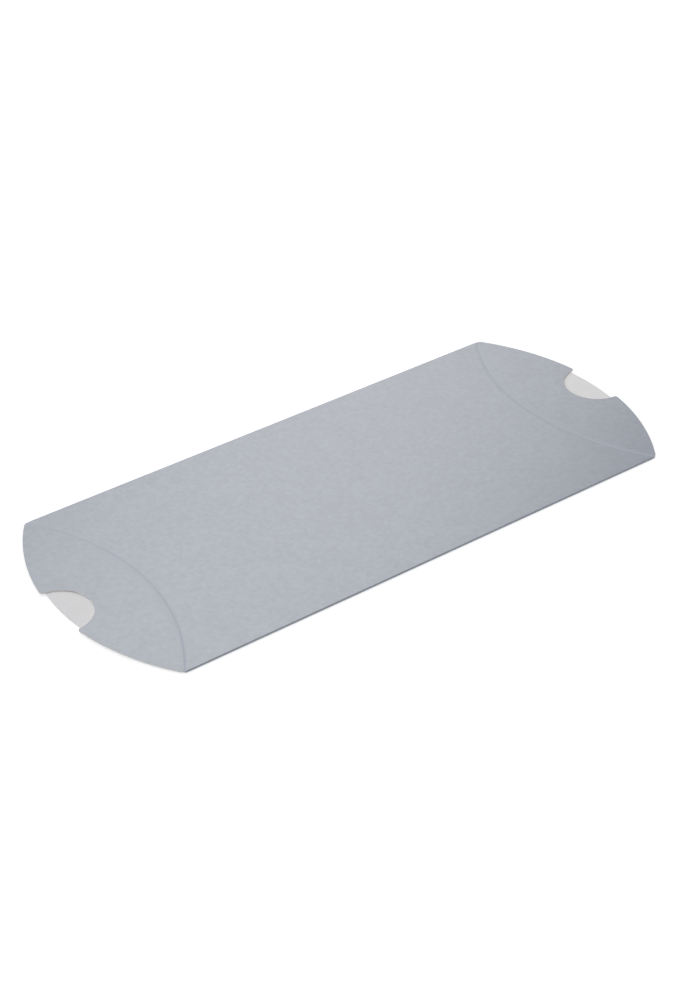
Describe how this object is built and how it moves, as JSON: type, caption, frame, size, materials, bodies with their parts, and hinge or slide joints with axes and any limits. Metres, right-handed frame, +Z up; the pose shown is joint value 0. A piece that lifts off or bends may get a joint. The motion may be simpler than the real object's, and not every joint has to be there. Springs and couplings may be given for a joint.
{
  "type": "pillow box",
  "caption": "Flat-packed pillow box of silver-grey folding board with curved creases; each end has a flap with a half-round thumb notch over a plain one, and it folds up into a bowed box.",
  "frame": {"origin": "middle of the flat box's underside", "axes": "+X along the box from one end's flaps to the other's, +Y across it from the near side, which is a plain fold, to the far side, which has the glued seam, and +Z up"},
  "size_m": [0.255, 0.11, 0.0013],
  "materials": {
    "board": "satin",
    "glue": "satin"
  },
  "bodies": {
    "lower_panel_far_edge": {"lower_panel_far_edge": "board", "glue_line": "glue", "glue_tab": "board"},
    "left_notched_flap_far_side": {"left_notched_flap_far_side": "board"},
    "left_notched_flap_far_tip": {"left_notched_flap_far_tip": "board"},
    "left_notched_flap_middle": {"left_notched_flap_middle": "board"},
    "left_notched_flap_near_side": {"left_notched_flap_near_side": "board"},
    "left_notched_flap_near_tip": {"left_notched_flap_near_tip": "board"},
    "left_plain_flap_far_side": {"left_plain_flap_far_side": "board"},
    "left_plain_flap_far_tip": {"left_plain_flap_far_tip": "board"},
    "left_plain_flap_middle": {"left_plain_flap_middle": "board"},
    "left_plain_flap_near_side": {"left_plain_flap_near_side": "board"},
    "left_plain_flap_near_tip": {"left_plain_flap_near_tip": "board"},
    "lower_panel_far_side": {"lower_panel_far_side": "board"},
    "lower_panel_middle": {"lower_panel_middle": "board"},
    "lower_panel_near_edge": {"lower_panel_near_edge": "board"},
    "lower_panel_near_side": {"lower_panel_near_side": "board"},
    "right_notched_flap_far_side": {"right_notched_flap_far_side": "board"},
    "right_notched_flap_far_tip": {"right_notched_flap_far_tip": "board"},
    "right_notched_flap_middle": {"right_notched_flap_middle": "board"},
    "right_notched_flap_near_side": {"right_notched_flap_near_side": "board"},
    "right_notched_flap_near_tip": {"right_notched_flap_near_tip": "board"},
    "right_plain_flap_far_side": {"right_plain_flap_far_side": "board"},
    "right_plain_flap_far_tip": {"right_plain_flap_far_tip": "board"},
    "right_plain_flap_middle": {"right_plain_flap_middle": "board"},
    "right_plain_flap_near_side": {"right_plain_flap_near_side": "board"},
    "right_plain_flap_near_tip": {"right_plain_flap_near_tip": "board"},
    "upper_panel_far_edge": {"upper_panel_far_edge": "board"},
    "upper_panel_far_side": {"upper_panel_far_side": "board"},
    "upper_panel_middle": {"upper_panel_middle": "board"},
    "upper_panel_near_edge": {"upper_panel_near_edge": "board"},
    "upper_panel_near_side": {"upper_panel_near_side": "board"}
  },
  "joints": [
    {"name": "lower_panel_near_side_bend", "type": "hinge", "parent": "lower_panel_middle", "child": "lower_panel_near_side", "pos_m": [0, -0.011, 0.0004], "axis": [-1, 0, 0], "range_deg": [0, 14.07]},
    {"name": "lower_panel_near_edge_bend", "type": "hinge", "parent": "lower_panel_near_side", "child": "lower_panel_near_edge", "pos_m": [0, -0.033, 0.0004], "axis": [-1, 0, 0], "range_deg": [0, 18.41]},
    {"name": "lower_panel_far_side_bend", "type": "hinge", "parent": "lower_panel_middle", "child": "lower_panel_far_side", "pos_m": [0, 0.011, 0.0004], "axis": [1, 0, 0], "range_deg": [0, 14.07]},
    {"name": "lower_panel_far_edge_bend", "type": "hinge", "parent": "lower_panel_far_side", "child": "lower_panel_far_edge", "pos_m": [0, 0.033, 0.0004], "axis": [1, 0, 0], "range_deg": [0, 18.41]},
    {"name": "near_side_fold", "type": "hinge", "parent": "lower_panel_near_edge", "child": "upper_panel_near_edge", "pos_m": [0, -0.05435, 0.00065], "axis": [1, 0, 0], "range_deg": [0, 64.92], "deforming": ["left_notched_flap_far_side", "left_notched_flap_far_tip", "left_notched_flap_middle", "left_notched_flap_near_side", "left_notched_flap_near_tip", "left_plain_flap_far_side", "left_plain_flap_far_tip", "left_plain_flap_middle", "left_plain_flap_near_side", "left_plain_flap_near_tip", "right_notched_flap_far_side", "right_notched_flap_far_tip", "right_notched_flap_middle", "right_notched_flap_near_side", "right_notched_flap_near_tip", "right_plain_flap_far_side", "right_plain_flap_far_tip", "right_plain_flap_middle", "right_plain_flap_near_side", "right_plain_flap_near_tip"]},
    {"name": "upper_panel_near_side_bend", "type": "hinge", "parent": "upper_panel_near_edge", "child": "upper_panel_near_side", "pos_m": [0, -0.033, 0.0009], "axis": [-1, 0, 0], "range_deg": [0, 18.41]},
    {"name": "upper_panel_middle_bend", "type": "hinge", "parent": "upper_panel_near_side", "child": "upper_panel_middle", "pos_m": [0, -0.011, 0.0009], "axis": [-1, 0, 0], "range_deg": [0, 14.07]},
    {"name": "upper_panel_far_side_bend", "type": "hinge", "parent": "upper_panel_middle", "child": "upper_panel_far_side", "pos_m": [0, 0.011, 0.0009], "axis": [-1, 0, 0], "range_deg": [0, 14.07]},
    {"name": "upper_panel_far_edge_bend", "type": "hinge", "parent": "upper_panel_far_side", "child": "upper_panel_far_edge", "pos_m": [0, 0.033, 0.0009], "axis": [-1, 0, 0], "range_deg": [0, 18.41]},
    {"name": "left_notched_crease", "type": "hinge", "parent": "upper_panel_middle", "child": "left_notched_flap_middle", "pos_m": [-0.09285, 0, 0.0009], "axis": [0, -1, 0], "range_deg": [0, 90.01]},
    {"name": "left_notched_flap_near_side_bend", "type": "hinge", "parent": "left_notched_flap_middle", "child": "left_notched_flap_near_side", "pos_m": [0, -0.011, 0.0013], "axis": [-1, 0, 0], "range_deg": [0, 14.07]},
    {"name": "left_notched_flap_near_tip_bend", "type": "hinge", "parent": "left_notched_flap_near_side", "child": "left_notched_flap_near_tip", "pos_m": [0, -0.033, 0.0013], "axis": [-1, 0, 0], "range_deg": [0, 18.41]},
    {"name": "left_notched_flap_far_side_bend", "type": "hinge", "parent": "left_notched_flap_middle", "child": "left_notched_flap_far_side", "pos_m": [0, 0.011, 0.0013], "axis": [1, 0, 0], "range_deg": [0, 14.07]},
    {"name": "left_notched_flap_far_tip_bend", "type": "hinge", "parent": "left_notched_flap_far_side", "child": "left_notched_flap_far_tip", "pos_m": [0, 0.033, 0.0013], "axis": [1, 0, 0], "range_deg": [0, 18.41]},
    {"name": "left_plain_crease", "type": "hinge", "parent": "lower_panel_middle", "child": "left_plain_flap_middle", "pos_m": [-0.09225, 0, 0.0004], "axis": [0, 1, 0], "range_deg": [0, 90.01]},
    {"name": "left_plain_flap_near_side_bend", "type": "hinge", "parent": "left_plain_flap_middle", "child": "left_plain_flap_near_side", "pos_m": [0, -0.011, 0], "axis": [1, 0, 0], "range_deg": [0, 14.07]},
    {"name": "left_plain_flap_near_tip_bend", "type": "hinge", "parent": "left_plain_flap_near_side", "child": "left_plain_flap_near_tip", "pos_m": [0, -0.033, 0], "axis": [1, 0, 0], "range_deg": [0, 18.41]},
    {"name": "left_plain_flap_far_side_bend", "type": "hinge", "parent": "left_plain_flap_middle", "child": "left_plain_flap_far_side", "pos_m": [0, 0.011, 0], "axis": [-1, 0, 0], "range_deg": [0, 14.07]},
    {"name": "left_plain_flap_far_tip_bend", "type": "hinge", "parent": "left_plain_flap_far_side", "child": "left_plain_flap_far_tip", "pos_m": [0, 0.033, 0], "axis": [-1, 0, 0], "range_deg": [0, 18.41]},
    {"name": "right_notched_crease", "type": "hinge", "parent": "upper_panel_middle", "child": "right_notched_flap_middle", "pos_m": [0.09285, 0, 0.0009], "axis": [0, 1, 0], "range_deg": [0, 90.01]},
    {"name": "right_notched_flap_near_side_bend", "type": "hinge", "parent": "right_notched_flap_middle", "child": "right_notched_flap_near_side", "pos_m": [0, -0.011, 0.0013], "axis": [-1, 0, 0], "range_deg": [0, 14.07]},
    {"name": "right_notched_flap_near_tip_bend", "type": "hinge", "parent": "right_notched_flap_near_side", "child": "right_notched_flap_near_tip", "pos_m": [0, -0.033, 0.0013], "axis": [-1, 0, 0], "range_deg": [0, 18.41]},
    {"name": "right_notched_flap_far_side_bend", "type": "hinge", "parent": "right_notched_flap_middle", "child": "right_notched_flap_far_side", "pos_m": [0, 0.011, 0.0013], "axis": [1, 0, 0], "range_deg": [0, 14.07]},
    {"name": "right_notched_flap_far_tip_bend", "type": "hinge", "parent": "right_notched_flap_far_side", "child": "right_notched_flap_far_tip", "pos_m": [0, 0.033, 0.0013], "axis": [1, 0, 0], "range_deg": [0, 18.41]},
    {"name": "right_plain_crease", "type": "hinge", "parent": "lower_panel_middle", "child": "right_plain_flap_middle", "pos_m": [0.09225, 0, 0.0004], "axis": [0, -1, 0], "range_deg": [0, 90.01]},
    {"name": "right_plain_flap_near_side_bend", "type": "hinge", "parent": "right_plain_flap_middle", "child": "right_plain_flap_near_side", "pos_m": [0, -0.011, 0], "axis": [1, 0, 0], "range_deg": [0, 14.07]},
    {"name": "right_plain_flap_near_tip_bend", "type": "hinge", "parent": "right_plain_flap_near_side", "child": "right_plain_flap_near_tip", "pos_m": [0, -0.033, 0], "axis": [1, 0, 0], "range_deg": [0, 18.41]},
    {"name": "right_plain_flap_far_side_bend", "type": "hinge", "parent": "right_plain_flap_middle", "child": "right_plain_flap_far_side", "pos_m": [0, 0.011, 0], "axis": [-1, 0, 0], "range_deg": [0, 14.07]},
    {"name": "right_plain_flap_far_tip_bend", "type": "hinge", "parent": "right_plain_flap_far_side", "child": "right_plain_flap_far_tip", "pos_m": [0, 0.033, 0], "axis": [-1, 0, 0], "range_deg": [0, 18.41]}
  ],
  "couplings": [
    {"joint": "lower_panel_near_side_bend", "follows": "near_side_fold", "ratio": 0.21657},
    {"joint": "lower_panel_near_edge_bend", "follows": "near_side_fold", "ratio": 0.28343},
    {"joint": "lower_panel_far_side_bend", "follows": "near_side_fold", "ratio": 0.21657},
    {"joint": "lower_panel_far_edge_bend", "follows": "near_side_fold", "ratio": 0.28343},
    {"joint": "upper_panel_near_side_bend", "follows": "near_side_fold", "ratio": 0.28343},
    {"joint": "upper_panel_middle_bend", "follows": "near_side_fold", "ratio": 0.21657},
    {"joint": "upper_panel_far_side_bend", "follows": "near_side_fold", "ratio": 0.21657},
    {"joint": "upper_panel_far_edge_bend", "follows": "near_side_fold", "ratio": 0.28343},
    {"joint": "left_notched_crease", "follows": "near_side_fold", "ratio": 1.3862},
    {"joint": "left_notched_flap_near_side_bend", "follows": "near_side_fold", "ratio": 0.21657},
    {"joint": "left_notched_flap_near_tip_bend", "follows": "near_side_fold", "ratio": 0.28343},
    {"joint": "left_notched_flap_far_side_bend", "follows": "near_side_fold", "ratio": 0.21657},
    {"joint": "left_notched_flap_far_tip_bend", "follows": "near_side_fold", "ratio": 0.28343},
    {"joint": "left_plain_crease", "follows": "near_side_fold", "ratio": 1.3862},
    {"joint": "left_plain_flap_near_side_bend", "follows": "near_side_fold", "ratio": 0.21657},
    {"joint": "left_plain_flap_near_tip_bend", "follows": "near_side_fold", "ratio": 0.28343},
    {"joint": "left_plain_flap_far_side_bend", "follows": "near_side_fold", "ratio": 0.21657},
    {"joint": "left_plain_flap_far_tip_bend", "follows": "near_side_fold", "ratio": 0.28343},
    {"joint": "right_notched_crease", "follows": "near_side_fold", "ratio": 1.3862},
    {"joint": "right_notched_flap_near_side_bend", "follows": "near_side_fold", "ratio": 0.21657},
    {"joint": "right_notched_flap_near_tip_bend", "follows": "near_side_fold", "ratio": 0.28343},
    {"joint": "right_notched_flap_far_side_bend", "follows": "near_side_fold", "ratio": 0.21657},
    {"joint": "right_notched_flap_far_tip_bend", "follows": "near_side_fold", "ratio": 0.28343},
    {"joint": "right_plain_crease", "follows": "near_side_fold", "ratio": 1.3862},
    {"joint": "right_plain_flap_near_side_bend", "follows": "near_side_fold", "ratio": 0.21657},
    {"joint": "right_plain_flap_near_tip_bend", "follows": "near_side_fold", "ratio": 0.28343},
    {"joint": "right_plain_flap_far_side_bend", "follows": "near_side_fold", "ratio": 0.21657},
    {"joint": "right_plain_flap_far_tip_bend", "follows": "near_side_fold", "ratio": 0.28343}
  ]
}
